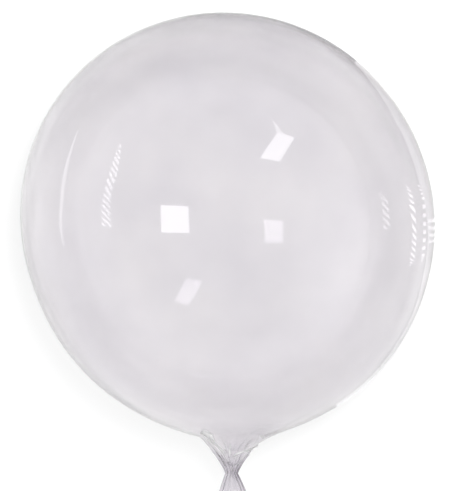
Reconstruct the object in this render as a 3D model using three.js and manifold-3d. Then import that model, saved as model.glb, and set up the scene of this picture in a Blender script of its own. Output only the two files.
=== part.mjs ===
// A clear bubble balloon lying on its side on the floor, in millimetres, +Z up.
//
// The whole balloon is one piece of blown film: a round ball, a neck that is gathered into
// pleats and pinched at a waist, and a short open tail below the waist. It stands here as one
// solid, closed where the air is sealed in, and hollow in the tail, which is open at its mouth.
//
// The ball's axis is level and runs along Y, with the crown at +Y and the tail towards -Y.
// The origin is the middle of the small flat spot on which the ball rests.
//
// The skin is a stack of rings round the axis. "Reach" is a distance from the ball's centre
// towards the tail, so the crown has a negative reach. "Turn" is the angle round the axis.

import * as THREE from "three";
import { mergeVertices } from "three/addons/utils/BufferGeometryUtils.js";
import Module from "manifold-3d";

// The ball and the flat spot it rests on.
const BALL_RADIUS = 250;
const FLAT_SPOT_RADIUS = 40;
const BALL_HEIGHT = Math.sqrt(BALL_RADIUS ** 2 - FLAT_SPOT_RADIUS ** 2);
const LEAN = 5; // how far the crown leans to -X and the shoulder to +X

// The shoulder leaves the round at this angle from the crown and sweeps in to the throat.
const SHOULDER_ANGLE = THREE.MathUtils.degToRad(103.5);
const SHOULDER_PULL = 178;
const THROAT_RADIUS = 38.5;
const THROAT_REACH = 262;
const THROAT_SLOPE = THREE.MathUtils.degToRad(60);
const THROAT_PULL = 10;

// The waist, where the gathered neck is at its thinnest.
const WAIST_RADIUS = 7.1;
const WAIST_REACH = 306;
const WAIST_PULL = 6.3;

// The tail: a flattened open tube that fans out from the waist.
const TAIL_LENGTH = 72;
const TAIL_HALF_WIDTH = 24;
const TAIL_HALF_DEPTH = 8;
const TAIL_DRIFT = 5; // sideways, towards +X
const TAIL_WALL = 1.2;
const MOUTH_DEPTH = 60; // from the mouth up to where the film closes on itself

// The pleats: rounded lobes between sharp creases in the neck, loose ruffles in the tail.
const PLEATS = 9;
const PLEAT_START = 238;
const PLEAT_FULL = 285;
const PLEAT_HEIGHT = 2.6;
const RUFFLE_HEIGHT = 3;

// How finely the skin is divided.
const STEPS_ROUND = 72;
const BALL_RINGS = 17;
const SHOULDER_RINGS = 11;
const FUNNEL_RINGS = 6;
const TAIL_RINGS = 7;
const MOUTH_RINGS = 5;

const smooth = (from, to, value) => THREE.MathUtils.smoothstep(value, from, to);

// Where the axis has strayed sideways to, at a reach.
function axisDrift(reach) {
  const share = THREE.MathUtils.clamp(reach / BALL_RADIUS, -1, 1);
  const past = Math.max(0, reach - WAIST_REACH) / TAIL_LENGTH;
  return LEAN * Math.sin((share * Math.PI) / 2) + TAIL_DRIFT * past;
}

// The pleats' phase at a turn: a whole number of lobes, of unequal widths.
function pleatPhase(turn) {
  return PLEATS * turn + 0.7 * Math.sin(turn + 0.6) + 0.5 * Math.sin(2 * turn + 2);
}

// How far the film stands out of its ring at a turn. Air presses the lobes of the neck round,
// between sharp creases, and nothing presses the tail, so it only waves in and out.
function pleat(reach, turn) {
  const phase = pleatPhase(turn);
  const lobes = Math.abs(Math.sin(phase / 2)) - 2 / Math.PI;
  const waves = 0.5 * Math.cos(phase);
  const neckHeight = PLEAT_HEIGHT * smooth(PLEAT_START, PLEAT_FULL, reach);
  const loose = smooth(WAIST_REACH, WAIST_REACH + TAIL_LENGTH / 2, reach);
  return neckHeight * lobes * (1 - loose) - RUFFLE_HEIGHT * waves * loose;
}

// One ring: its reach, and its half sizes across (X) and up and down (Z) before pleating.
const ring = (reach, across, up) => ({ reach, across, up });

function ballRings() {
  return Array.from({ length: BALL_RINGS }, (_, i) => {
    const angle = (SHOULDER_ANGLE * (i + 1)) / (BALL_RINGS + 1);
    const radius = BALL_RADIUS * Math.sin(angle);
    return ring(-BALL_RADIUS * Math.cos(angle), radius, radius);
  });
}

// The shoulder and the funnel are two curves of (radius, reach) that meet at the throat.
function neckRings() {
  const start = new THREE.Vector2(Math.sin(SHOULDER_ANGLE), -Math.cos(SHOULDER_ANGLE));
  const along = new THREE.Vector2(Math.cos(SHOULDER_ANGLE), Math.sin(SHOULDER_ANGLE));
  const inward = new THREE.Vector2(-Math.sin(THROAT_SLOPE), Math.cos(THROAT_SLOPE));
  const shoulderTop = start.multiplyScalar(BALL_RADIUS);
  const throat = new THREE.Vector2(THROAT_RADIUS, THROAT_REACH);
  const waist = new THREE.Vector2(WAIST_RADIUS, WAIST_REACH);
  const shoulder = new THREE.CubicBezierCurve(
    shoulderTop,
    shoulderTop.clone().addScaledVector(along, SHOULDER_PULL),
    throat.clone().addScaledVector(inward, -THROAT_PULL),
    throat,
  );
  const funnel = new THREE.CubicBezierCurve(
    throat,
    throat.clone().addScaledVector(inward, THROAT_PULL),
    new THREE.Vector2(WAIST_RADIUS, WAIST_REACH - WAIST_PULL),
    waist,
  );
  const points = [
    ...shoulder.getSpacedPoints(SHOULDER_RINGS).slice(0, -1),
    ...funnel.getSpacedPoints(FUNNEL_RINGS),
  ];
  return points.map((p) => ring(p.y, p.x, p.x));
}

// The tail's ring at a share of its length: it fans out across faster than it opens up.
function tailRing(share, inset) {
  const open = Math.sin((share * Math.PI) / 2);
  const across = THREE.MathUtils.lerp(WAIST_RADIUS, TAIL_HALF_WIDTH, open ** 0.9);
  const up = THREE.MathUtils.lerp(WAIST_RADIUS, TAIL_HALF_DEPTH, open);
  return ring(WAIST_REACH + TAIL_LENGTH * share, across - inset, up - inset);
}

function tailRings() {
  return Array.from({ length: TAIL_RINGS }, (_, i) => tailRing((i + 1) / TAIL_RINGS, 0));
}

// The inside of the tail, from the mouth back up towards the waist.
function mouthRings() {
  const depthShare = MOUTH_DEPTH / TAIL_LENGTH;
  return Array.from({ length: MOUTH_RINGS }, (_, i) =>
    tailRing(1 - (depthShare * i) / MOUTH_RINGS, TAIL_WALL),
  );
}

// The skin's point at a turn round a ring: on the ring's ellipse, then out by the pleat.
function skinPoint({ reach, across, up }, turn) {
  const outward = new THREE.Vector2(Math.cos(turn) * up, Math.sin(turn) * across).normalize();
  const stand = pleat(reach, turn);
  return new THREE.Vector3(
    axisDrift(reach) + across * Math.cos(turn) + stand * outward.x,
    -reach,
    BALL_HEIGHT + up * Math.sin(turn) + stand * outward.y,
  );
}

// A closed skin through the rings, with a pole before the first and one after the last.
function skinGeometry(rings, firstPole, lastPole) {
  const rows = rings.map((r) =>
    Array.from({ length: STEPS_ROUND }, (_, j) => skinPoint(r, (2 * Math.PI * j) / STEPS_ROUND)),
  );
  const faces = [];
  for (let j = 0; j < STEPS_ROUND; j++) {
    const k = (j + 1) % STEPS_ROUND;
    faces.push(firstPole, rows[0][k], rows[0][j]);
    for (let i = 0; i + 1 < rows.length; i++) {
      const [a, b, c, d] = [rows[i][j], rows[i][k], rows[i + 1][k], rows[i + 1][j]];
      faces.push(a, b, c, a, c, d);
    }
    faces.push(lastPole, rows.at(-1)[j], rows.at(-1)[k]);
  }
  return new THREE.BufferGeometry().setFromPoints(faces);
}

const wasm = await Module();
wasm.setup();

function toSolid(geometry) {
  const bare = geometry.clone();
  bare.deleteAttribute("normal");
  bare.deleteAttribute("uv");
  const merged = mergeVertices(bare, 1e-4);
  return new wasm.Manifold(
    new wasm.Mesh({
      numProp: 3,
      vertProperties: merged.attributes.position.array,
      triVerts: new Uint32Array(merged.index.array),
    }),
  );
}

function toGeometry(solid) {
  const mesh = solid.getMesh();
  const geometry = new THREE.BufferGeometry();
  geometry.setAttribute("position", new THREE.BufferAttribute(mesh.vertProperties, 3));
  geometry.setIndex(new THREE.BufferAttribute(mesh.triVerts, 1));
  geometry.computeVertexNormals();
  return geometry;
}

// Everything below the floor, to press the flat spot.
function underFloor() {
  const size = 4 * BALL_RADIUS;
  return new THREE.BoxGeometry(size, size, size).translate(0, 0, -size / 2);
}

function balloonGeometry() {
  const crown = new THREE.Vector3(axisDrift(-BALL_RADIUS), BALL_RADIUS, BALL_HEIGHT);
  const gatherReach = WAIST_REACH + TAIL_LENGTH - MOUTH_DEPTH;
  const gather = new THREE.Vector3(axisDrift(gatherReach), -gatherReach, BALL_HEIGHT);
  const rings = [...ballRings(), ...neckRings(), ...tailRings(), ...mouthRings()];
  const skin = toSolid(skinGeometry(rings, crown, gather));
  return toGeometry(skin.subtract(toSolid(underFloor())));
}

const clearFilm = new THREE.MeshStandardMaterial({
  name: "clear film",
  color: 0xe9e8ee,
  roughness: 0.05,
  metalness: 0,
  transparent: true,
  opacity: 0.3,
});

const balloon = new THREE.Mesh(balloonGeometry(), clearFilm);
balloon.name = "film_balloon";

const bubbleBalloon = new THREE.Group();
bubbleBalloon.name = "bubble_balloon";
bubbleBalloon.add(balloon);

export default bubbleBalloon;
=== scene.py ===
# %% [markdown]
# # A clear bubble balloon
#
# The balloon is one bag of thin clear film. Air presses most of it into a ball, and its lower
# end is gathered into a neck, pinched at a waist and left open as a short tail. It lies on its
# side on a white floor, its axis level along Y, with the crown at +Y and the tail towards -Y.
#
# Everything is in metres, in the frame of the imported model. First the model is loaded.

# %% Load the frame
import math

import bpy
import numpy as np
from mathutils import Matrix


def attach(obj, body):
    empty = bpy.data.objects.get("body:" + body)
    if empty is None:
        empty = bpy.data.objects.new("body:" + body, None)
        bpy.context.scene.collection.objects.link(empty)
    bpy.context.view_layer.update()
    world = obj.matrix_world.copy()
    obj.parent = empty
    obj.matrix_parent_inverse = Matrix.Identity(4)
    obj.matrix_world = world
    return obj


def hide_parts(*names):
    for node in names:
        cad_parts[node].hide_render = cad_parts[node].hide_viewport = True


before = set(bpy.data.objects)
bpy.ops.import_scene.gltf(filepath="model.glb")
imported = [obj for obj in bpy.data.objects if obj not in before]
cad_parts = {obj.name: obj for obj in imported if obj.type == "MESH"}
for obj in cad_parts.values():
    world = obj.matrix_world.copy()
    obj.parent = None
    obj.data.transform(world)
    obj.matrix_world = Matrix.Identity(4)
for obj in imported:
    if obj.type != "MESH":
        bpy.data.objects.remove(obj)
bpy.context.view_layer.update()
print("packed nodes:", list(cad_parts))

MM = 0.001


# %% [markdown]
# ## Small helpers
#
# A curve that eases from 0 to 1 is used again and again: a pleat fades in, a fold fades out. A
# formula that takes whole arrays keeps each use of it one line long, with no loop over points.

# %% Easing and mixing
def ease(start, end, value):
    """0 before start, 1 after end, and between them the smooth step 3t^2 - 2t^3."""
    t = np.clip((value - start) / (end - start), 0.0, 1.0)
    return t * t * (3.0 - 2.0 * t)


def mix(a, b, share):
    """a at share 0, b at share 1, in proportion between."""
    return a + (b - a) * share


def turn_apart(a, b):
    """The angle from b to a the short way round, between minus pi and pi."""
    return (a - b + np.pi) % (2.0 * np.pi) - np.pi


print("a quarter, a half and three quarters, eased:", ease(0.0, 1.0, np.array([0.25, 0.5, 0.75])))

# %% [markdown]
# ## The profile
#
# Blown film has no seams across it, so its shape is a stack of rings round one axis. A ring has
# a *reach*, its distance from the ball's centre towards the tail, and two half sizes, across and
# up. A curve with a Screw modifier would give the bare form too, but the folds have to be laid
# over it point by point, and for that the rings are better at hand as arrays.
#
# The crown and most of the ball are a circle. The shoulder leaves the circle and sweeps in to the
# throat, and a funnel runs on to the waist: two Bezier curves do that, as they do in the CAD
# model. The tail is a flattened tube that fans out.

# %% Driving sizes
BALL_RADIUS = 250 * MM
FLAT_SPOT_RADIUS = 40 * MM
BALL_HEIGHT = math.sqrt(BALL_RADIUS**2 - FLAT_SPOT_RADIUS**2)
LEAN = 5 * MM  # the crown leans this far to -X and the shoulder to +X

SHOULDER_ANGLE = math.radians(103.5)  # from the crown
SHOULDER_PULL = 178 * MM
THROAT = np.array([38.5, 262]) * MM  # radius, reach
THROAT_SLOPE = math.radians(60)
THROAT_PULL = 10 * MM

WAIST_RADIUS, WAIST_REACH = 7.1 * MM, 306 * MM
WAIST_PULL = 6.3 * MM

TAIL_LENGTH = 72 * MM
TAIL_HALF_WIDTH = 24 * MM
TAIL_HALF_DEPTH = 8 * MM
TAIL_DRIFT = 5 * MM  # sideways, towards +X
print("the ball's middle is", round(BALL_HEIGHT, 4), "above the floor")


# %% The ball and the neck in profile
def bezier(a, b, c, d, count):
    """A cubic Bezier curve: (1-t)^3 a + 3(1-t)^2 t b + 3(1-t) t^2 c + t^3 d."""
    t = np.linspace(0.0, 1.0, count)[:, None]
    return (1 - t) ** 3 * a + 3 * (1 - t) ** 2 * t * b + 3 * (1 - t) * t**2 * c + t**3 * d


def ball_profile(count):
    """(radius, reach) down a circle, from the crown to where the shoulder starts."""
    angle = np.linspace(0.0, SHOULDER_ANGLE, count)
    return BALL_RADIUS * np.stack([np.sin(angle), -np.cos(angle)], axis=1)


def neck_profile(count):
    """(radius, reach) from the shoulder through the throat to the waist."""
    shoulder = BALL_RADIUS * np.array([math.sin(SHOULDER_ANGLE), -math.cos(SHOULDER_ANGLE)])
    along = np.array([math.cos(SHOULDER_ANGLE), math.sin(SHOULDER_ANGLE)])
    inward = np.array([-math.sin(THROAT_SLOPE), math.cos(THROAT_SLOPE)])
    waist = np.array([WAIST_RADIUS, WAIST_REACH])
    sweep = bezier(shoulder, shoulder + SHOULDER_PULL * along,
                   THROAT - THROAT_PULL * inward, THROAT, count)
    funnel = bezier(THROAT, THROAT + THROAT_PULL * inward,
                    waist - np.array([0.0, WAIST_PULL]), waist, count)
    return np.concatenate([sweep, funnel[1:]])


def spaced(profile, count, finer_from, finer):
    """The same profile at count points, which lie that many times closer together past a reach:
    the steps along it are made longer there before they are shared out evenly."""
    steps = np.linalg.norm(np.diff(profile, axis=0), axis=1)
    steps = steps * np.where(profile[1:, 1] > finer_from, finer, 1.0)
    length = np.concatenate([[0.0], np.cumsum(steps)])
    stations = np.linspace(0.0, length[-1], count)
    return np.stack([np.interp(stations, length, column) for column in profile.T], axis=1)


# %% The tail in profile, and the whole stack of rings
def tail_profile(count):
    """(across, up, reach) of the tail: it opens as a quarter sine, faster across than up."""
    share = np.linspace(0.0, 1.0, count)
    opened = np.sin(share * np.pi / 2)
    across = mix(WAIST_RADIUS, TAIL_HALF_WIDTH, opened**0.9)
    up = mix(WAIST_RADIUS, TAIL_HALF_DEPTH, opened)
    return np.stack([across, up, WAIST_REACH + TAIL_LENGTH * share], axis=1)


BALL_RINGS = 42
NECK_RINGS = 132
TAIL_RINGS = 40
CURVE_SAMPLES = 900
FINE_FROM = 243 * MM
FINER = 8

neck = spaced(neck_profile(CURVE_SAMPLES), NECK_RINGS, FINE_FROM, FINER)
round_part = np.concatenate([ball_profile(BALL_RINGS), neck[1:]])
rings = np.concatenate([round_part[:, [0, 0, 1]], tail_profile(TAIL_RINGS)[1:]])[1:]
print("rings:", len(rings), "the closest two", round(float(np.diff(rings[:, 2]).min()), 5), "apart")

# %% [markdown]
# ## Pleats, creases and folds
#
# A metre and a half of film is gathered into a waist as thin as a finger, so it folds. A cloth
# simulation could gather it, but would put the folds where it liked. A formula puts each one
# where it belongs, and gives the same ones every time.
#
# Air presses each lobe round from inside, and the film between two lobes is pulled in to a sharp
# crease. The absolute value of a sine has just that shape: round humps that meet in points.
# Nine such lobes run down the neck, as in the CAD model. Past the waist nothing presses, and
# the film only waves loosely.

# %% The pleats
PLEATS = 9
PLEAT_START = 238 * MM
PLEAT_FULL = 285 * MM
PLEAT_HEIGHT = 2.6 * MM
RUFFLE_HEIGHT = 3 * MM
LOOSENING = TAIL_LENGTH / 2  # past the waist, the gathering is gone after this length
MEAN_HUMP = 2.0 / np.pi  # the mean of the absolute value of a sine


def pleat_phase(turn):
    """A whole number of lobes round the neck, of unequal widths."""
    return PLEATS * turn + 0.7 * np.sin(turn + 0.6) + 0.5 * np.sin(2 * turn + 2)


def loosened(reach):
    """0 down to the waist, 1 from half way down the tail."""
    return ease(WAIST_REACH, WAIST_REACH + LOOSENING, reach)


def pleats(reach, turn):
    """How far the film stands out of its ring: sharp-creased humps, then loose waves."""
    phase = pleat_phase(turn)
    humps = np.abs(np.sin(phase / 2)) - MEAN_HUMP
    gathered = PLEAT_HEIGHT * ease(PLEAT_START, PLEAT_FULL, reach) * humps
    waves = 0.5 * RUFFLE_HEIGHT * np.cos(phase)
    return mix(gathered, -waves, loosened(reach))


full_pleats = pleats(PLEAT_FULL, np.radians(np.arange(360)))
print("pleats, deepest and highest:", full_pleats.min().round(5), full_pleats.max().round(5))

# %% [markdown]
# Finer pleats come in closer to the waist, where there is less and less room for the film. They
# are the same humps, more and smaller, of uneven widths that shift a little along the neck.

# %% The fine pleats
FINE_PLEATS = 31
FINE_HEIGHT = 0.7 * MM
FINE_START, FINE_FULL = 258 * MM, 296 * MM
FADE_START, FADE_END = 310 * MM, 350 * MM
FADE = 0.7  # how much of their height they lose down the tail


def fine_pleats(reach, turn):
    """The many small pleats close to the waist, sharp in the neck and fading down the tail."""
    phase = FINE_PLEATS * turn + 1.3 * np.sin(3 * turn + 1) + 0.9 * np.sin(5 * turn + 40 * reach)
    humps = np.abs(np.sin(phase / 2)) - MEAN_HUMP
    strength = ease(FINE_START, FINE_FULL, reach) * (1 - FADE * ease(FADE_START, FADE_END, reach))
    return FINE_HEIGHT * strength * humps


print("fine pleats, each about", round(2 * math.pi * WAIST_RADIUS / FINE_PLEATS, 4), "wide at the waist")

# %% [markdown]
# A few creases are single events, each with its own place, so they come from a short table.
# Along each the film dips to a sharp point and rises again: a falling exponential of the distance
# from the line has such a corner. They deepen towards the waist, where layer on layer of film
# ends up behind each other.

# %% Single creases
# turn in the throat and at the waist in degrees, then start, depth and width in millimetres
CREASES = [
    (112, 106, 264, 3.6, 1.8),
    (96, 97, 272, 4.0, 1.4),
    (84, 88, 280, 3.4, 1.1),
    (68, 74, 276, 3.4, 1.2),
    (46, 58, 272, 3.6, 1.6),
    (134, 122, 268, 2.6, 1.5),
    (152, 146, 266, 2.0, 1.5),
    (20, 30, 272, 1.8, 1.4),
    (-34, -42, 256, 4.0, 2.5),
    (-66, -74, 262, 3.4, 1.8),
    (-92, -90, 270, 4.4, 1.6),
    (-118, -108, 254, 4.2, 2.5),
    (-150, -142, 262, 2.4, 2.0),
]
CREASE_RUN_IN = 16  # millimetres from a crease's start to its full depth
FULL_DEPTH_RADIUS = 14 * MM


def creases(reach, turn, radius):
    """Sharp dips: minus depth times exp(-distance / width) from each crease's line. A thin neck
    has no room for the full depth, so it shrinks with the radius there."""
    total = np.zeros_like(radius)
    for throat_turn, waist_turn, start, depth, width in CREASES:
        share = ease(start * MM, WAIST_REACH, reach)
        line = np.radians(mix(throat_turn, waist_turn, share))
        away = np.abs(turn_apart(turn, line)) * radius
        strength = ease(start * MM, (start + CREASE_RUN_IN) * MM, reach) * (1 - loosened(reach))
        total -= depth * MM * strength * np.exp(-away / (width * MM))
    return total * np.minimum(1.0, radius / FULL_DEPTH_RADIUS)


print("single creases:", len(CREASES), "the first starts at a reach of", min(row[2] for row in CREASES), "mm")

# %% [markdown]
# Where the full shoulder sags over the neck, the film rolls over an edge and tucks under. Such a fold is
# drawn as a line in the view from above: start, end and bow. On one side of the line the film rises slowly,
# on the other it drops at once, so the line becomes a crisp edge. Film that is bent this sharply turns milky,
# so each fold also leaves a white line along its crest. This white also stands for the glints that the lights
# make there, so it is partly milky film and partly a painted highlight.

# %% Folds that roll over
# side (1 above, -1 below), start x and y, end x and y, bow, height, rise, drop and half the white line's
# width, all in millimetres, then how white it is. The white line is milky film and a painted glint along the
# crest.
FOLDS = [
    (1, (8, -281), (43, -273), -3.0, 4.0, 4.0, 1.2, 1.3, 1.0),
    (1, (-24, -254), (-4, -277), 0.8, 3.0, 3.5, 0.9, 1.4, 1.0),
    (1, (-31, -250), (-19, -257), -0.5, 1.2, 1.5, 1.5, 3.6, 1.0),
    (1, (-19, -253), (-15, -262), 0.0, 0.9, 1.2, 1.2, 0.8, 0.7),
    (1, (2.9, -266), (2.7, -283), 0.0, 0.8, 1.5, 1.0, 0.9, 0.7),
    (1, (39, -254), (43, -259), 0.0, 1.0, 1.5, 1.0, 1.0, 0.8),
    (1, (24, -277), (19, -298), -1.5, 1.2, 1.5, 0.9, 0.5, 0.25),
    (1, (-13, -289), (-3, -304), 0.8, 0.6, 1.2, 0.8, 0.9, 0.7),
    (1, (12, -283), (7, -300), 0.6, 0.8, 1.2, 0.8, 0.5, 0.3),
    (-1, (-42, -262), (-8, -284), 3.0, 2.0, 4.5, 1.2, 0.8, 0.2),
    (-1, (12, -280), (36, -256), -2.5, 2.0, 4.0, 1.0, 0.8, 0.2),
]


def rolled_folds(points, side):
    """Asymmetric ridges: height times exp(distance / rise) before the line, and times exp(-distance / drop)
    past it, faded out at both ends of the line. The white of the crest, milky film with a painted glint, is a
    bell curve, exp(-(distance / width)^2)."""
    ridge = np.zeros(points.shape[:2])
    white = np.zeros(points.shape[:2])
    for fold_side, start, end, bow, height, rise, drop, width, whiteness in FOLDS:
        start, end = np.array(start) * MM, np.array(end) * MM
        length = np.linalg.norm(end - start)
        way = (end - start) / length
        offset = points[:, :, :2] - start
        along = offset @ way / length
        across = offset @ np.array([way[1], -way[0]]) - bow * MM * 4 * along * (1 - along)
        edge = np.where(across < 0, across / (rise * MM), -across / (drop * MM))
        window = ease(-0.15, 0.2, along) * (1 - ease(0.8, 1.15, along))
        window = window * ease(-0.1, 0.25, side * fold_side)
        ridge += height * MM * window * np.exp(edge)
        white += whiteness * window * np.exp(-(across / (width * MM)) ** 2)
    return ridge, white


print("folds that roll over:", len(FOLDS), "the highest", max(row[4] for row in FOLDS), "mm")

# %% [markdown]
# ## The lip
#
# On the upper side the full shoulder hangs out over the start of the neck like a chin. A second
# surface could be laid there, but the film is one sheet, so its own rings are slid along the axis
# instead: most where the throat begins, and not at all at the waist.

# %% The lip over the neck
LIP = 15 * MM
LIP_START, LIP_PEAK, LIP_END = 236 * MM, 266 * MM, 304 * MM  # reaches


def lip(reach, turn):
    """How far a point hangs out towards the tail: an ease in and out along the neck, times one
    round it, most a little to +X of the top."""
    degrees = np.degrees(turn)
    round_the_neck = ease(15, 75, degrees) * (1 - ease(88, 150, degrees))
    along_the_neck = ease(LIP_START, LIP_PEAK, reach) * (1 - ease(LIP_PEAK, LIP_END, reach))
    return LIP * round_the_neck * along_the_neck


print("the lip at the top of the throat:", round(float(lip(LIP_PEAK, math.radians(90))), 4))

# %% [markdown]
# ## Slack and sag
#
# The ball isn't a perfect sphere either. The film is a little slack in places, which shows as
# slightly bent reflections, so a few slow waves of half a millimetre run over it. The neck's
# weight is also taken to draw the underside a little towards the tail, which is a guess. Both are
# smooth formulas of a point's own place, where a Displace modifier with a texture would be harder
# to hold to half a millimetre.

# %% Slack and sag in the film
# each wave's number of radians for one ball radius along X, Y and Z, and where it starts
SLACK_WAVES = [
    ((3.1, 2.3, 0.0), 0.4),
    ((0.0, 2.7, -3.4), 1.9),
    ((-2.2, 0.0, 4.3), 5.0),
]
SLACK = 0.2 * MM
SLACK_FADE = 200 * MM, 240 * MM  # the reaches between which it fades out
SAG = 13 * MM


def slack(points, reach):
    """How far a point of the ball is out of the round: a sum of slow sines of its own place."""
    place = points / BALL_RADIUS
    waves = sum(np.sin(place @ np.array(wave) + start) for wave, start in SLACK_WAVES)
    return SLACK * waves * (1 - ease(*SLACK_FADE, reach))


def underside_sag(points):
    """How far a point is drawn to the tail: SAG times the square of its share of the depth."""
    depth = np.clip((BALL_HEIGHT - points[:, :, 2]) / BALL_RADIUS, 0.0, 1.0)
    return SAG * depth**2


print("most slack:", round(SLACK * len(SLACK_WAVES), 5), "sag at the lowest point:", SAG)

# %% [markdown]
# ## The whole skin
#
# All these forms are laid over the rings at once. A point starts on its ring's ellipse, slid out
# by the lip. It goes out along the ellipse's normal by the pleats, the creases and the folds, and
# last the slack and the sag bend the whole. What comes out is one grid of points, rings by turns.

# %% The skin on a grid of rings and turns
STEPS_ROUND = 200


def axis_drift(reach):
    """Where the axis has strayed to along X: the lean, then the tail's drift."""
    lean = LEAN * np.sin(np.clip(reach / BALL_RADIUS, -1.0, 1.0) * np.pi / 2)
    return lean + TAIL_DRIFT * np.maximum(0.0, reach - WAIST_REACH) / TAIL_LENGTH


def skin(rings, turns):
    """Points of the film, and the white of its crests: milky film with a painted glint. The normal of an
    ellipse with half sizes a and b is (b cos t, a sin t), made one long."""
    across, up, reach, turn = np.broadcast_arrays(*rings.T[:, :, None], turns)
    plain = np.stack([
        axis_drift(reach) + across * np.cos(turn),
        -reach - lip(reach, turn),
        BALL_HEIGHT + up * np.sin(turn),
    ], axis=2)
    outward = np.stack([np.cos(turn) * up, 0 * turn, np.sin(turn) * across], axis=2)
    outward = outward / np.linalg.norm(outward, axis=2, keepdims=True)
    ridge, white = rolled_folds(plain, np.sin(turn))
    stand = pleats(reach, turn) + fine_pleats(reach, turn) + creases(reach, turn, np.sqrt(across * up))
    folded = plain + (stand + ridge)[:, :, None] * outward
    radial = folded - np.array([0.0, 0.0, BALL_HEIGHT])
    radial = radial / np.linalg.norm(radial, axis=2, keepdims=True)
    bent = folded + radial * slack(folded, reach)[:, :, None]
    bent[:, :, 1] -= underside_sag(bent)
    return bent, white


turns = np.linspace(0.0, 2 * np.pi, STEPS_ROUND, endpoint=False)
# the crests' white is milky film at sharp folds and a painted glint
film, crest_glint_white = skin(rings, turns)
print("film grid:", film.shape[:2], "lowest point", round(float(film[:, :, 2].min()), 5))

# %% [markdown]
# Where the ball meets the floor its weight presses a small flat spot. A hard cut would leave a
# visible circle, so the height is rounded off instead: half of z plus the root of z^2 + h^2
# follows z when it is well above the floor, and never goes below zero.

# %% Press the flat spot
PRESS_SOFTNESS = 0.8 * MM


def press(height):
    """A soft maximum of the height and zero."""
    return 0.5 * (height + np.sqrt(height**2 + PRESS_SOFTNESS**2))


film[:, :, 2] = press(film[:, :, 2])
print("lowest point now:", round(float(film[:, :, 2].min()), 5))


# %% [markdown]
# ## From a grid to a mesh
#
# Each cell of the grid becomes a four-sided face, and the last turn joins the first. The crown
# is a single point with a fan of triangles. The mouth stays open, as it is on the real balloon.
# Faces could be added one by one with bmesh, but arrays of point numbers are quicker.

# %% From points to an object
def tube_faces(ring_count, step_count):
    """Faces between neighbouring rings, facing out, and a fan from point 0 to the first ring."""
    i, j = np.meshgrid(np.arange(ring_count - 1), np.arange(step_count), indexing="ij")
    k = (j + 1) % step_count
    this_ring, next_ring = 1 + i * step_count, 1 + (i + 1) * step_count
    quads = np.stack([this_ring + j, this_ring + k, next_ring + k, next_ring + j], axis=2)
    step = np.arange(step_count)
    fan = np.stack([0 * step, 1 + (step + 1) % step_count, 1 + step], axis=1)
    return fan.tolist() + quads.reshape(-1, 4).tolist()


def new_mesh_object(name, points, faces):
    """A smooth-shaded mesh object at the origin, with its place in its points."""
    mesh = bpy.data.meshes.new(name)
    mesh.from_pydata(points.reshape(-1, 3).tolist(), [], faces)
    mesh.shade_smooth()
    made = bpy.data.objects.new(name, mesh)
    bpy.context.scene.collection.objects.link(made)
    return made


crown = np.array([[axis_drift(-BALL_RADIUS), BALL_RADIUS, BALL_HEIGHT]])
film_points = np.concatenate([crown, film.reshape(-1, 3)])
balloon = new_mesh_object("clear_film_balloon", film_points, tube_faces(*film.shape[:2]))
print("faces:", len(balloon.data.polygons))

# %% [markdown]
# Real film has two faces. Light bends one way as it goes in and back as it comes out, so it
# crosses the film almost straight, while a single face would bend it as a solid glass ball does.
# Solidify adds the second face. The wall is a few times as thick as real film, which keeps its
# two faces clear of each other in the tight folds.

# %% Give the film its wall
WALL = 0.2 * MM
wall = balloon.modifiers.new("film wall", "SOLIDIFY")
wall.thickness = WALL
wall.offset = -1.0
wall.use_quality_normals = True
print("film wall:", round(WALL / MM, 2), "mm")

# %% [markdown]
# Three things about the film change from place to place, and its finish needs to know them. So each is kept
# on the points: how much film is *gathered* there, layer on layer; how white a sharp fold's crest is, partly
# milky film and partly a painted glint; and its *lay*, which is where it came from on the flat sheet. The lay
# is a place on a cylinder, so that a pattern on it runs round without a seam, as it would not on a UV map.

# %% Keep the film's state on its points
GATHER_START, GATHER_FULL = 246 * MM, 300 * MM
SPREAD_LENGTH = 30 * MM  # past the waist the layers spread out again over this length
SPREAD = 0.7  # and lose this share of their number
LAY_LENGTH = 170 * MM  # the reach that counts as one radius of the lay's cylinder


def keep_on_points(mesh, name, kind, values):
    """A named value on every point, read by the material."""
    field = "value" if kind == "FLOAT" else "vector"
    attribute = mesh.attributes.new(name, kind, "POINT")
    attribute.data.foreach_set(field, np.ascontiguousarray(values, dtype=np.float32).ravel())


def keep_on_film(name, kind, grid):
    """The same for a grid over the film. The crown comes before it, and gets zeros."""
    crown_value = np.zeros_like(grid[0, :1])
    values = np.concatenate([crown_value, grid.reshape(-1, *grid.shape[2:])])
    keep_on_points(balloon.data, name, kind, values)


reach_grid, turn_grid = np.broadcast_arrays(rings[:, 2:3], turns)
spread_out = SPREAD * ease(WAIST_REACH, WAIST_REACH + SPREAD_LENGTH, reach_grid)
layers = ease(GATHER_START, GATHER_FULL, reach_grid) * (1 - spread_out)
keep_on_film("gathered", "FLOAT", layers)
# white crests: milky film at sharp folds and a painted glint where the lights would shine
keep_on_film("whitening_and_glint", "FLOAT", crest_glint_white.clip(0, 1))
keep_on_film("lay", "FLOAT_VECTOR", np.stack(
    [np.cos(turn_grid), np.sin(turn_grid), reach_grid / LAY_LENGTH], axis=2))
print("most gathered:", round(float(layers.max()), 3), "whitened points:", int((crest_glint_white > 0.5).sum()))


# %% [markdown]
# ## The film's finish
#
# Bubble balloons are blown from clear polyurethane film. It is glossy, nearly colourless and very
# thin. Light crosses each wall almost straight, loses a little, and a few per cent of it is
# mirrored by each face: that is all the eye sees of it. A Glass shader would do for perfect film.
# The Principled shader with full transmission does the same and takes tint, haze and relief from
# nodes, one layer at a time.

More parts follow.
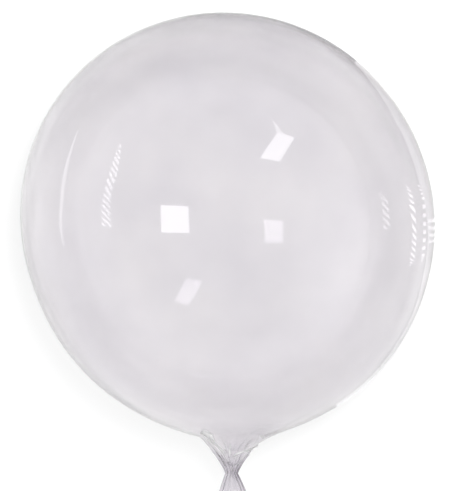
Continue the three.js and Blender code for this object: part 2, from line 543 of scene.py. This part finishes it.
# %% Helpers for colours and nodes
def linear(hex_colour):
    """An sRGB hex colour turned to the linear values that Blender works in."""
    srgb = np.array([int(hex_colour[i:i + 2], 16) for i in (1, 3, 5)]) / 255
    value = np.where(srgb <= 0.04045, srgb / 12.92, ((srgb + 0.055) / 1.055) ** 2.4)
    return (*value.tolist(), 1.0)


def add_node(tree, kind, settings=None, inputs=None):
    """Adds a node, sets its properties, and sets or links its inputs."""
    node = tree.nodes.new("ShaderNode" + kind)
    for key, value in (settings or {}).items():
        setattr(node, key, value)
    for key, value in (inputs or {}).items():
        if isinstance(value, bpy.types.NodeSocket):
            tree.links.new(value, node.inputs[key])
        else:
            node.inputs[key].default_value = value
    return node


def new_material(name):
    """An empty node material and its tree."""
    material = bpy.data.materials.new(name)
    material.use_nodes = True
    material.node_tree.nodes.clear()
    return material, material.node_tree


print("the film's tint in linear values:", [round(v, 3) for v in linear("#f3f1f3")])

# %% [markdown]
# Blowing leaves the film a little thicker here than there, so broad patches are a shade deeper.
# Where it is gathered, light crosses layer on layer and loses more, in some streaks more than in
# others. A noise has no direction of its own: on the film's lay, which is stretched along the
# neck, it comes out as streaks that run with the pleats.

# %% The film's tint
PATCH = 100 * MM  # from one thick patch to the next
STREAK = 42.5 * MM  # the length of a streak in the gathered film


def film_tint(tree, place, gathered, lay):
    """Two pale tints in patches, mixed with the gathered tint by gathered times streaks."""
    unevenness = add_node(tree, "TexNoise", inputs={
        "Vector": place, "Scale": 1 / PATCH, "Detail": 3.0, "Roughness": 0.55})
    patches = add_node(tree, "MapRange", inputs={
        "Value": unevenness.outputs["Fac"], "From Min": 0.35, "From Max": 0.65})
    tint = add_node(tree, "Mix", {"data_type": "RGBA"}, {
        "Factor": patches.outputs["Result"], "A": linear("#f3f1f3"), "B": linear("#efedf0")})
    grain = add_node(tree, "TexNoise", inputs={
        "Vector": lay, "Scale": LAY_LENGTH / STREAK, "Detail": 3.0})
    streaks = add_node(tree, "MapRange", inputs={
        "Value": grain.outputs["Fac"], "From Min": 0.35, "From Max": 0.65, "To Min": 0.35, "To Max": 1.0})
    depth = add_node(tree, "Math", {"operation": "MULTIPLY"}, {0: gathered, 1: streaks.outputs["Result"]})
    tint = add_node(tree, "Mix", {"data_type": "RGBA"}, {
        "Factor": depth.outputs[0], "A": tint.outputs["Result"], "B": linear("#e3e0e5")})
    return tint.outputs["Result"]


# %% [markdown]
# The film is as smooth as glass where it is taut. Where it touched the roller a faint haze is
# left, and crumpled film is duller. The relief is too fine for the mesh: waves a few hundredths
# of a millimetre high bend the reflections all over, and in the neck a sharp crumple runs with
# the pleats. A Bump node tilts the shading for both and leaves the mesh as it is.

# %% The film's haze and relief
HAZE_PATCH = 111 * MM
GATHERED_HAZE = 0.08
WAVE, WAVE_HEIGHT = 38.5 * MM, 0.06 * MM
CRUMPLE, CRUMPLE_HEIGHT = 24.3 * MM, 0.3 * MM


def film_haze(tree, place, gathered):
    """Roughness from 0.02 to 0.07 in broad patches, plus some where the film is gathered."""
    haze = add_node(tree, "TexNoise", inputs={"Vector": place, "Scale": 1 / HAZE_PATCH, "Detail": 3.0})
    patches = add_node(tree, "MapRange", inputs={
        "Value": haze.outputs["Fac"], "From Min": 0.3, "From Max": 0.7, "To Min": 0.02, "To Max": 0.07})
    roughness = add_node(tree, "Math", {"operation": "MULTIPLY_ADD"}, {
        0: gathered, 1: GATHERED_HAZE, 2: patches.outputs["Result"]})
    return roughness.outputs[0]


def film_relief(tree, place, gathered, lay):
    """A normal tilted by slow waves, plus a ridged crumple times how far the film is gathered."""
    waves = add_node(tree, "TexNoise", inputs={"Vector": place, "Scale": 1 / WAVE, "Detail": 1.0})
    wave_height = add_node(tree, "Math", {"operation": "MULTIPLY"}, {
        0: waves.outputs["Fac"], 1: WAVE_HEIGHT})
    crumple = add_node(tree, "TexNoise", {"noise_type": "RIDGED_MULTIFRACTAL"}, {
        "Vector": lay, "Scale": LAY_LENGTH / CRUMPLE, "Detail": 3.0, "Roughness": 0.6})
    in_the_neck = add_node(tree, "Math", {"operation": "MULTIPLY"}, {
        0: crumple.outputs["Fac"], 1: gathered})
    height = add_node(tree, "Math", {"operation": "MULTIPLY_ADD"}, {
        0: in_the_neck.outputs[0], 1: CRUMPLE_HEIGHT, 2: wave_height.outputs[0]})
    bump = add_node(tree, "Bump", inputs={"Height": height.outputs[0], "Strength": 1.0, "Distance": 1.0})
    return bump.outputs["Normal"]


# %% [markdown]
# A whitened crest scatters light to both sides, so it glows against the clear film, and the same white stands
# in for the glints of the lights there, as a painted highlight. Half diffuse and half translucent shader does
# that.
#
# The film hardly keeps light from the floor. Followed exactly, bent light would reach the floor
# as noisy bright flecks. So to a lamp the film is a pale filter instead, deeper where the light
# meets it at a slant, since more of it is mirrored away there.

# %% Whitened crests, and the film as a lamp sees it
def milky_crest_and_glint(tree):
    """A white finish for milky film and the painted glints on the crests: half of the light scattered back to
    its own side, and half to the other.
    """
    near_side = add_node(tree, "BsdfDiffuse", inputs={"Color": linear("#fdfdfd")})
    far_side = add_node(tree, "BsdfTranslucent", inputs={"Color": linear("#fdfdfd")})
    both = add_node(tree, "MixShader", inputs={0: 0.5, 1: near_side.outputs[0], 2: far_side.outputs[0]})
    return both.outputs[0]


def filter_for_lamps(tree):
    """Straight through, dimmed to 0.955 of the light and at a slant to 0.8."""
    slant = add_node(tree, "LayerWeight", inputs={"Blend": 0.5})
    passed = add_node(tree, "MapRange", inputs={
        "Value": slant.outputs["Facing"], "From Min": 0.35, "From Max": 1.0,
        "To Min": 0.955, "To Max": 0.8})
    return add_node(tree, "BsdfTransparent", inputs={"Color": passed.outputs["Result"]}).outputs[0]


# %% [markdown]
# Now the layers come together in one material. What is the same all over the film, how much it
# lets through and how far it bends light, is a plain value on the shader. The rest is linked in.

# %% Blown clear film
FILM_IOR = 1.5  # polyurethane


def blown_clear_film():
    """The clear film, mixed with its white crests, milky film and painted glints, by how white they are, and
    with the lamps' filter for the rays that ask whether a lamp reaches a place."""
    material, tree = new_material("blown_clear_polyurethane_film")
    place = add_node(tree, "TexCoord").outputs["Object"]
    gathered = add_node(tree, "Attribute", {"attribute_name": "gathered"}).outputs["Fac"]
    # how white the crests are: milky film and a painted glint
    whitening_and_glint = add_node(tree, "Attribute", {"attribute_name": "whitening_and_glint"}).outputs["Fac"]
    lay = add_node(tree, "Attribute", {"attribute_name": "lay"}).outputs["Vector"]
    clear = add_node(tree, "BsdfPrincipled", inputs={
        "Base Color": film_tint(tree, place, gathered, lay),
        "IOR": FILM_IOR,
        "Transmission Weight": 1.0,
        "Roughness": film_haze(tree, place, gathered),
        "Normal": film_relief(tree, place, gathered, lay)})
    film = add_node(tree, "MixShader", inputs={0: whitening_and_glint, 1: clear.outputs[0], 2: milky_crest_and_glint(tree)})
    rays = add_node(tree, "LightPath")
    surface = add_node(tree, "MixShader", inputs={
        0: rays.outputs["Is Shadow Ray"], 1: film.outputs[0], 2: filter_for_lamps(tree)})
    add_node(tree, "OutputMaterial", inputs={"Surface": surface.outputs[0]})
    return material


balloon.data.materials.append(blown_clear_film())
balloon.visible_diffuse = False  # light that the floor scatters passes the thin film unchanged
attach(balloon, "root")
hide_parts("film_balloon")
print("nodes in the film's finish:", len(balloon.data.materials[0].node_tree.nodes))

# %% [markdown]
# ## The camera
#
# The balloon lies down, so the camera hangs above it and looks straight down, with the crown at
# the top of the view. It stands three metres off with a long lens, which keeps the ball round,
# and a little towards the tail.

# %% Place the camera
CAMERA_DISTANCE = 3.0
AIM = np.array([10.7, -30.4]) * MM

camera_data = bpy.data.cameras.new("camera")
camera_data.lens = 182.1
camera_data.sensor_width = 36.0
camera = bpy.data.objects.new("camera", camera_data)
camera.location = (AIM[0], AIM[1], BALL_HEIGHT + CAMERA_DISTANCE)
bpy.context.scene.collection.objects.link(camera)
bpy.context.scene.camera = camera
print("camera at", [round(v, 3) for v in camera.location])


# %% [markdown]
# ## The studio
#
# A clear thing shows only what stands round it, so the studio is half of its look. The floor is
# white paper, so wide that its edge is never seen, and lit so that it reaches full white. The
# film doesn't mirror it, because a floor of full white in every reflection would hide the film's
# own edges.

# %% Floor
def plain_white_floor():
    """Matt white paper."""
    material, tree = new_material("white_paper_floor")
    paper = add_node(tree, "BsdfPrincipled", inputs={"Base Color": linear("#f6f6f6"), "Roughness": 0.9})
    add_node(tree, "OutputMaterial", inputs={"Surface": paper.outputs[0]})
    return material


FLOOR_HALF = 40.0
FLOOR_GAP = 0.2 * MM
corners = np.array([[-1, -1, 0], [1, -1, 0], [1, 1, 0], [-1, 1, 0]]) * FLOOR_HALF
floor = new_mesh_object("floor", corners - np.array([0, 0, FLOOR_GAP]), [(0, 1, 2, 3)])
floor.data.materials.append(plain_white_floor())
floor.visible_glossy = False
print("floor:", 2 * FLOOR_HALF, "metres wide")

# %% [markdown]
# The room round the floor is a world of plain nodes, and an image of a real studio isn't needed.
# It has three parts, by the kind of ray that meets it. Matt things get an even fill. What is seen
# straight, or through the film, is as white as the floor up to the horizon and grey above it. The
# film's own gloss mirrors a dimmer room with brighter and darker parts, so that its edges show.

# %% Light from all round
# the way to a bright or dim part of the room, how near to it that part starts (the cosine of the
# angle), and how much it adds
ROOM = [
    ((-0.38, -0.25, -0.89), 0.5, 0.55),
    ((0.64, -0.45, -0.62), 0.8, 0.45),
    ((0.58, 0.35, -0.73), 0.8, -0.12),
    ((0.35, 0.55, -0.75), 0.8, -0.2),
    ((0.0, 1.0, 0.1), 0.5, -0.2),
    ((-0.1, 0.75, -0.65), 0.7, -0.18),
    ((0.15, -0.98, -0.2), 0.75, -0.3),
]


def mirrored_room(tree, way, room_light, patchy):
    """Soft patches of room_light, more or less by patchy. Each part of ROOM then adds its amount
    times a smooth step of the cosine between the ray and the way to it."""
    clutter = add_node(tree, "TexNoise", inputs={
        "Vector": way, "Scale": 2.2, "Detail": 2.0, "Roughness": 0.6})
    light = add_node(tree, "MapRange", inputs={
        "Value": clutter.outputs["Fac"], "From Min": 0.3, "From Max": 0.7,
        "To Min": room_light - patchy, "To Max": room_light + patchy}).outputs["Result"]
    for towards, start, amount in ROOM:
        towards = np.array(towards) / np.linalg.norm(towards)
        nearness = add_node(tree, "VectorMath", {"operation": "DOT_PRODUCT"}, {
            0: way, 1: towards.tolist()})
        part = add_node(tree, "MapRange", {"interpolation_type": "SMOOTHSTEP"}, {
            "Value": nearness.outputs["Value"], "From Min": start, "From Max": 1.0, "To Max": amount})
        total = add_node(tree, "Math", {"operation": "ADD"}, {0: light, 1: part.outputs["Result"]})
        light = total.outputs[0]
    return light


def surroundings(fill, ceiling, room_light, patchy):
    """A world that is fill to matt things, mirrored_room to the film's gloss, and to the rest
    full white low down, falling to ceiling above. A ray that the film mirrored last is glossy
    and not transmitted, and one that crossed the film last is both."""
    world = bpy.data.worlds.new("studio")
    bpy.context.scene.world = world
    world.use_nodes = True
    tree = world.node_tree
    tree.nodes.clear()
    way = add_node(tree, "TexCoord").outputs["Generated"]
    height = add_node(tree, "SeparateXYZ", inputs={"Vector": way})
    seen = add_node(tree, "MapRange", inputs={
        "Value": height.outputs["Z"], "From Min": 0.15, "From Max": 0.5,
        "To Min": 1.0, "To Max": ceiling})
    rays = add_node(tree, "LightPath")
    unmirrored = add_node(tree, "Mix", inputs={
        "Factor": rays.outputs["Is Diffuse Ray"], "A": seen.outputs["Result"], "B": fill})
    gloss = add_node(tree, "Math", {"operation": "SUBTRACT"}, {
        0: rays.outputs["Is Glossy Ray"], 1: rays.outputs["Is Transmission Ray"]})
    strength = add_node(tree, "Mix", {"clamp_factor": True}, {
        "Factor": gloss.outputs[0], "A": unmirrored.outputs["Result"],
        "B": mirrored_room(tree, way, room_light, patchy)})
    light = add_node(tree, "Background", inputs={
        "Color": (1, 1, 1, 1), "Strength": strength.outputs["Result"]})
    add_node(tree, "OutputWorld", inputs={"Surface": light.outputs[0]})


surroundings(fill=0.27, ceiling=0.5, room_light=0.32, patchy=0.25)
print("parts of the room:", len(ROOM))

# %% [markdown]
# Two soft lamps hang almost straight above. They light the floor, and what the film takes of
# their light leaves the faint shadow beside the ball. Neither shows in the film: what it mirrors
# comes from the room and the panels.

# %% Two lamps above
LAMP_DISTANCE = 2.8


def lamp(name, size, power, tilt, azimuth):
    """A round soft lamp above the ball, tilted away from straight overhead."""
    data = bpy.data.lights.new(name, "AREA")
    data.shape = "DISK"
    data.size = size
    data.energy = power
    made = bpy.data.objects.new(name, data)
    tilt, azimuth = math.radians(tilt), math.radians(azimuth)
    sideways = math.sin(tilt)
    way = np.array([sideways * math.cos(azimuth), sideways * math.sin(azimuth), math.cos(tilt)])
    made.location = way * LAMP_DISTANCE
    made.rotation_euler = (0.0, tilt, azimuth)
    made.visible_camera = False
    made.visible_glossy = False
    made.visible_transmission = False
    bpy.context.scene.collection.objects.link(made)
    print(name, "at", [round(v, 3) for v in made.location])


lamp("overhead_lamp", size=0.5, power=39.0, tilt=2, azimuth=45)
lamp("side_lamp", size=0.8, power=45.0, tilt=11, azimuth=49)

# %% [markdown]
# ## Panels of light
#
# The bright shapes on the film are mirror images of soft boxes, blinds and strips of lamps. It is
# hard to guess where such a thing has to stand for its image to fall on a given spot of a ball.
# So the spot is chosen, and the way that light takes is followed backwards: from the camera to
# the spot, mirrored there, and on to where the panel stands.

# %% Where a mirrored thing stands
def mirrored_place(right, up, distance):
    """Follow the camera's ray to a spot on the ball, given in ball radii from its middle, mirror
    it there, and walk that distance on: the incoming ray minus twice its part along the normal."""
    eye = np.array(camera.location)
    centre = np.array([0.0, 0.0, BALL_HEIGHT])
    to_eye = eye - centre
    ball_edge = BALL_RADIUS / math.sqrt(CAMERA_DISTANCE**2 - BALL_RADIUS**2)
    middle = -to_eye / CAMERA_DISTANCE
    ray = np.array([middle[0] + right * ball_edge, middle[1] + up * ball_edge, -1.0])
    ray = ray / np.linalg.norm(ray)
    half = ray @ to_eye
    hit = eye + ray * (-half - math.sqrt(max(0.0, half**2 - to_eye @ to_eye + BALL_RADIUS**2)))
    normal = (hit - centre) / BALL_RADIUS
    return hit + distance * (ray - 2 * (ray @ normal) * normal)


print("mirrored at the ball's middle:", mirrored_place(0.0, 0.0, 1.0).round(3))

# %% [markdown]
# A panel is a row of four-sided faces between such places. Each of its points knows how far
# across and how far up the panel it is, and from that its glow is cut into slats, or fades to
# the edges. The camera and matt things don't see the panels, only the film's gloss does.

# %% A panel of light
def panel_glow(tree, strength, slats, slant, feather):
    """The strength, times smooth steps up and down for each slat, times an ease in from each
    edge. Without slats and feather it is the plain strength."""
    face = add_node(tree, "Attribute", {"attribute_name": "face"})
    spot = add_node(tree, "SeparateXYZ", inputs={"Vector": face.outputs["Vector"]})
    factors = []
    if slats:
        leaning = add_node(tree, "Math", {"operation": "MULTIPLY_ADD"}, {
            0: spot.outputs["X"], 1: slant, 2: spot.outputs["Y"]})
        wave = add_node(tree, "Math", {"operation": "PINGPONG"}, {0: leaning.outputs[0], 1: 0.5 / slats})
        factors.append(add_node(tree, "MapRange", {"interpolation_type": "SMOOTHSTEP"}, {
            "Value": wave.outputs[0], "From Min": 0.18 / slats, "From Max": 0.34 / slats}))
    for axis in ("X", "Y") if feather else ():
        edge = add_node(tree, "Math", {"operation": "PINGPONG"}, {0: spot.outputs[axis], 1: 0.5})
        factors.append(add_node(tree, "MapRange", {"interpolation_type": "SMOOTHSTEP"}, {
            "Value": edge.outputs[0], "From Min": 0.0, "From Max": feather}))
    amount = strength
    for factor in factors:
        dimmed = add_node(tree, "Math", {"operation": "MULTIPLY"}, {0: amount, 1: factor.outputs["Result"]})
        amount = dimmed.outputs[0]
    return amount


def light_panel(name, rows, distance, strength, slats=0, slant=0.0, feather=0.0, mirrored_twice=False):
    """A strip of light whose mirror image has its left and right edges at the rows' spots, from
    its lower end up. Slats cut it into that many bars, and feather fades it to its edges. One
    that is mirrored twice shows on the near wall and again, turned over, on the far one."""
    spots = np.array(rows).reshape(-1, 2)
    points = np.array([mirrored_place(right, up, distance) for right, up in spots])
    first = 2 * np.arange(len(rows) - 1)[:, None]
    panel = new_mesh_object(name, points, (first + np.array([0, 1, 3, 2])).tolist())
    across = np.arange(len(spots)) % 2
    along = np.arange(len(spots)) // 2 / (len(rows) - 1)
    keep_on_points(panel.data, "face", "FLOAT_VECTOR", np.stack([across, along, 0 * along], axis=1))
    material, tree = new_material(name)
    glow = add_node(tree, "Emission", inputs={"Strength": panel_glow(tree, strength, slats, slant, feather)})
    clear = add_node(tree, "BsdfTransparent")
    both = add_node(tree, "AddShader", inputs={0: glow.outputs[0], 1: clear.outputs[0]})
    add_node(tree, "OutputMaterial", inputs={"Surface": both.outputs[0]})
    panel.data.materials.append(material)
    panel.visible_camera = False
    panel.visible_diffuse = False
    panel.visible_shadow = False
    panel.visible_transmission = mirrored_twice
    print(name, "is", round(float(np.linalg.norm(points[-1] - points[0])), 2), "metres from end to end")


def level(*rows):
    """Rows given as (height, left, right), for a strip whose two edges have level spots."""
    return [((left, up), (right, up)) for up, left, right in rows]


# %% [markdown]
# Two soft boxes hang above the balloon, to the left and right of the camera: a square one, and a
# slanted one with a pointed tip.

# %% The soft boxes
light_panel("square_softbox", level((-0.068, -0.322, -0.187), (0.062, -0.322, -0.187)),
            distance=1.7, strength=3.6, mirrored_twice=True)
light_panel("slanted_softbox", [((0.165, 0.305), (0.258, 0.292)), ((0.249, 0.43), (0.336, 0.411))],
            distance=1.7, strength=3.2, mirrored_twice=True)
light_panel("softbox_tip", [((0.249, 0.43), (0.285, 0.42)), ((0.234, 0.485), (0.238, 0.485))],
            distance=1.7, strength=3.0)

# %% [markdown]
# To the left and right are window blinds and strips of small lamps. Near the ball's edge their
# images are squeezed to thin hatched and dotted lines, which bend with the ball.

# %% Blinds and strips on the left
light_panel("left_line", level(
    (-0.14, -0.795, -0.788),
    (-0.03, -0.813, -0.800),
    (0.08, -0.805, -0.789),
    (0.20, -0.790, -0.773),
    (0.33, -0.752, -0.742),
    (0.42, -0.718, -0.714),
), distance=0.9, strength=1.6)
light_panel("left_blind", level(
    (-0.045, -0.605, -0.561),
    (0.040, -0.606, -0.566),
    (0.117, -0.595, -0.556),
    (0.213, -0.566, -0.528),
    (0.290, -0.542, -0.513),
    (0.362, -0.511, -0.503),
), distance=1.0, strength=5.0, slats=14, slant=0.1)

# %% Blinds and strips on the right
light_panel("right_blind", level(
    (-0.022, 0.748, 0.782),
    (0.123, 0.743, 0.772),
    (0.156, 0.729, 0.736),
), distance=0.8, strength=2.6, slats=8, slant=0.12)
light_panel("right_dots", level(
    (-0.201, 0.871, 0.878),
    (-0.172, 0.873, 0.895),
    (-0.105, 0.883, 0.904),
    (-0.028, 0.888, 0.907),
    (0.088, 0.878, 0.902),
    (0.155, 0.871, 0.888),
    (0.194, 0.859, 0.864),
), distance=0.5, strength=2.4, slats=14, slant=0.05)
light_panel("right_dots_outer", level(
    (-0.185, 0.926, 0.931),
    (-0.156, 0.928, 0.943),
    (-0.022, 0.939, 0.954),
    (0.123, 0.936, 0.950),
    (0.190, 0.917, 0.924),
), distance=0.36, strength=1.2, slats=14)
light_panel("rim_ticks", level((-0.105, 0.965, 0.999), (0.025, 0.965, 0.999)),
            distance=0.3, strength=0.45, slats=4)

# %% [markdown]
# A white screen stands low on the right, close to the ball. Its edge draws a bright band along
# the rim. Pale walls further off give broad, faint glows.

# %% The white screen and the pale walls
light_panel("white_screen", [
    ((0.500, -0.845), (0.520, -0.880)),
    ((0.650, -0.735), (0.680, -0.760)),
    ((0.790, -0.575), (0.825, -0.600)),
    ((0.878, -0.432), (0.920, -0.452)),
    ((0.936, -0.249), (0.990, -0.262)),
    ((0.960, 0.000), (1.025, 0.000)),
    ((0.930, 0.181), (1.005, 0.194)),
    ((0.888, 0.329), (0.960, 0.354)),
    ((0.800, 0.520), (0.860, 0.557)),
    ((0.714, 0.656), (0.755, 0.693)),
    ((0.620, 0.765), (0.645, 0.796)),
], distance=0.3, strength=0.5)
light_panel("right_wall", level((-0.5, 0.15, 0.62), (0.3, 0.1, 0.62)),
            distance=2.0, strength=1.25, feather=0.5)
light_panel("left_wall", level((-0.4, -0.86, -0.55), (0.5, -0.78, -0.5)),
            distance=1.5, strength=0.4, feather=0.5)

# %% [markdown]
# ## Last steps
#
# White paper should stay white. Blender's usual view bends bright values down to a pale grey, and
# the Standard view shows them as they are.

# %% Clean white
bpy.context.scene.view_settings.view_transform = "Standard"
print("view:", bpy.context.scene.view_settings.view_transform)
